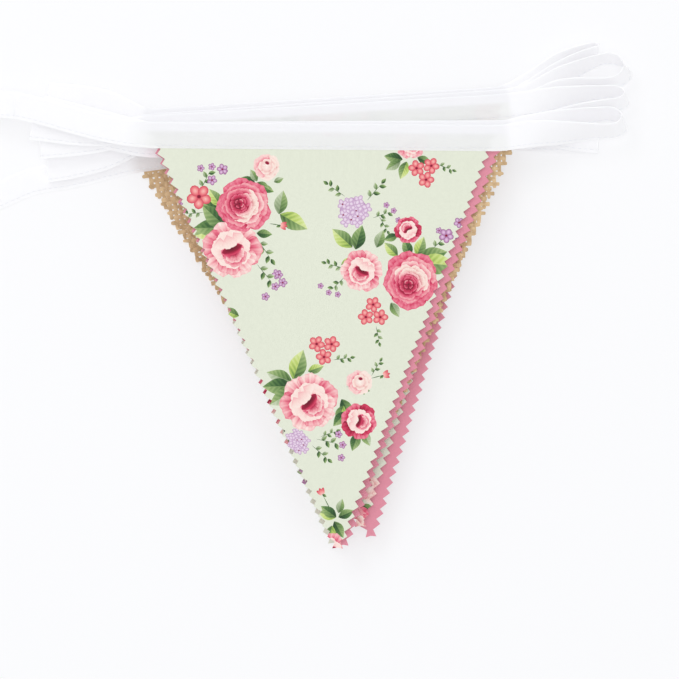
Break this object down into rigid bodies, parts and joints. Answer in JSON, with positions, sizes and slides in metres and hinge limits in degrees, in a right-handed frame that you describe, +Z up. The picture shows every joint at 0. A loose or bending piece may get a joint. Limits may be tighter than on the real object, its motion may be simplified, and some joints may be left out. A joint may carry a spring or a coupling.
{
  "type": "fabric pennant bunting, folded up",
  "caption": "Fabric bunting folded into a stack: triangular pinked pennants in flower print, pink and burlap on one white tape, lying flat.",
  "frame": {"origin": "on the surface, under the middle of the folded bunting's box", "axes": "+X along the tape, from the free ends to the loops; +Y from the flags' points to the tape; +Z up"},
  "size_m": [0.346, 0.2412, 0.0202],
  "materials": {
    "flower_print": "printed cotton twill, pale ground with rose sprays",
    "pink_cotton": "plain dyed cotton, matte",
    "burlap": "open natural jute weave",
    "white_tape": "white woven tape, stitched along its edge"
  },
  "bodies": {
    "root": {"flag_01_floral": "flower_print", "flag_02_pink": "pink_cotton", "flag_03_burlap": "burlap", "flag_04_floral": "flower_print", "flag_05_pink": "pink_cotton", "flag_06_burlap": "burlap", "flag_07_floral": "flower_print", "flag_08_pink": "pink_cotton", "flag_09_burlap": "burlap", "flag_10_floral": "flower_print", "flag_11_pink": "pink_cotton", "flag_12_burlap": "burlap", "tape": "white_tape"}
  },
  "joints": []
}
